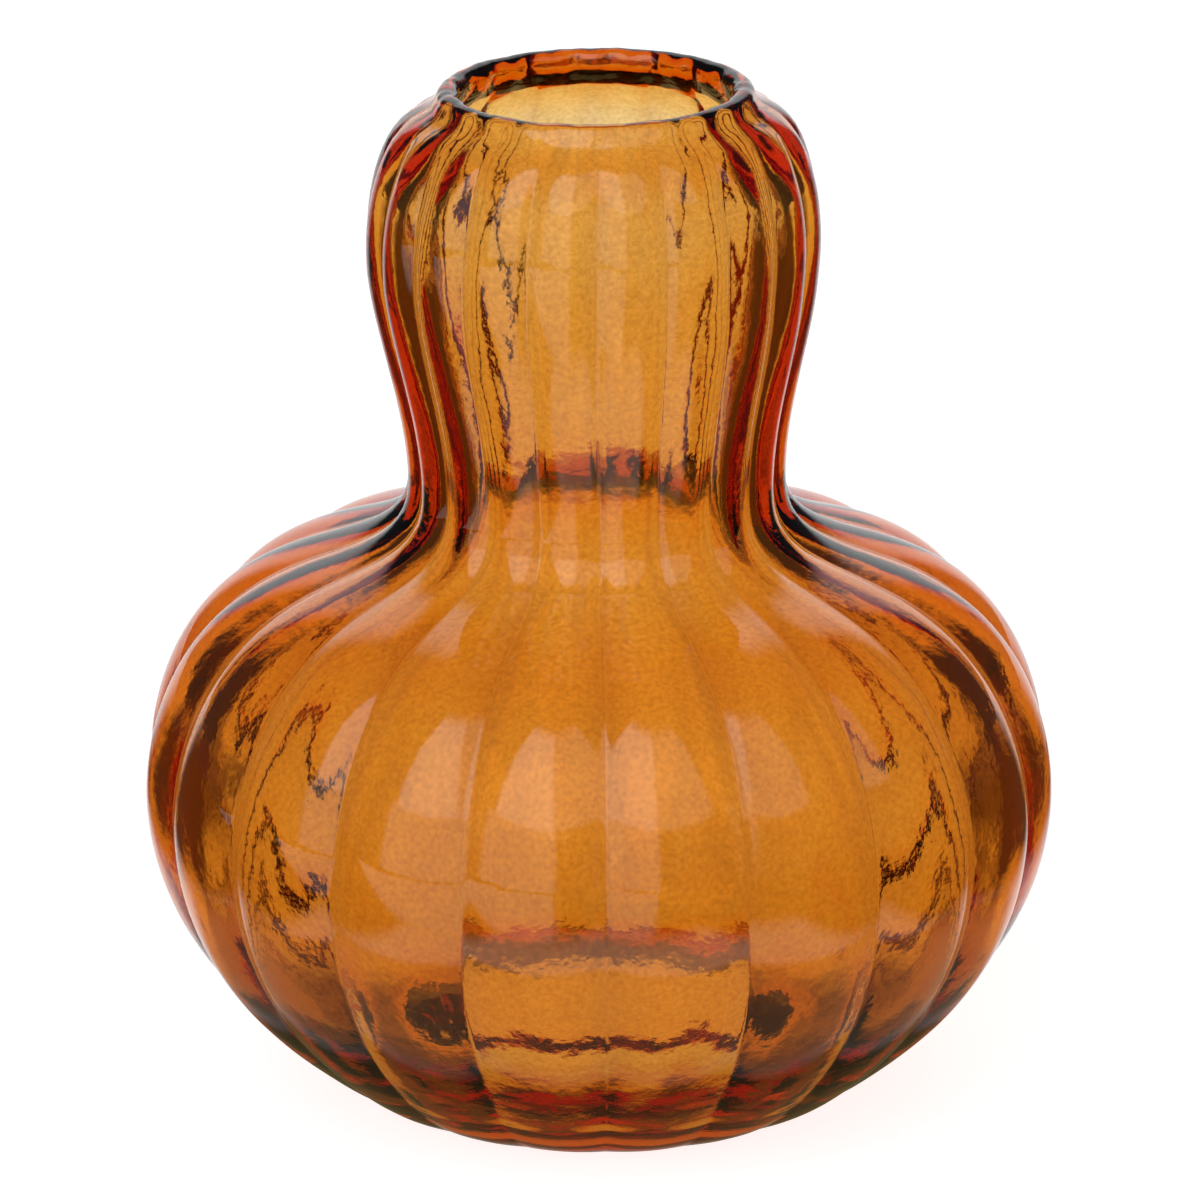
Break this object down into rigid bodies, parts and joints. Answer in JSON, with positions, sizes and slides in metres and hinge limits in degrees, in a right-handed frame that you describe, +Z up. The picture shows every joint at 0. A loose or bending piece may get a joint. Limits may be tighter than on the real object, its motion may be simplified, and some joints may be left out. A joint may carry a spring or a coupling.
{
  "type": "gourd vase",
  "caption": "Gourd vase of lobed amber glass: a wide belly, a waist, a smaller upper bulb and a rolled lip round an open mouth for flower stems; stands on a flat ring.",
  "frame": {"origin": "centre of the standing ring, on the surface that the vase stands on", "axes": "+Z up along the vase's axis, -Y towards the viewer of the picture, where a crease between two lobes faces"},
  "size_m": [0.1764, 0.1764, 0.2],
  "materials": {
    "amber_glass": "fire-polished, clear, coloured in the mass"
  },
  "bodies": {
    "root": {"base": "amber_glass", "heel": "amber_glass", "lower_belly": "amber_glass", "upper_belly": "amber_glass", "shoulder": "amber_glass", "throat": "amber_glass", "waist": "amber_glass", "upper_bulb": "amber_glass", "collar": "amber_glass", "lip": "amber_glass"}
  },
  "joints": []
}
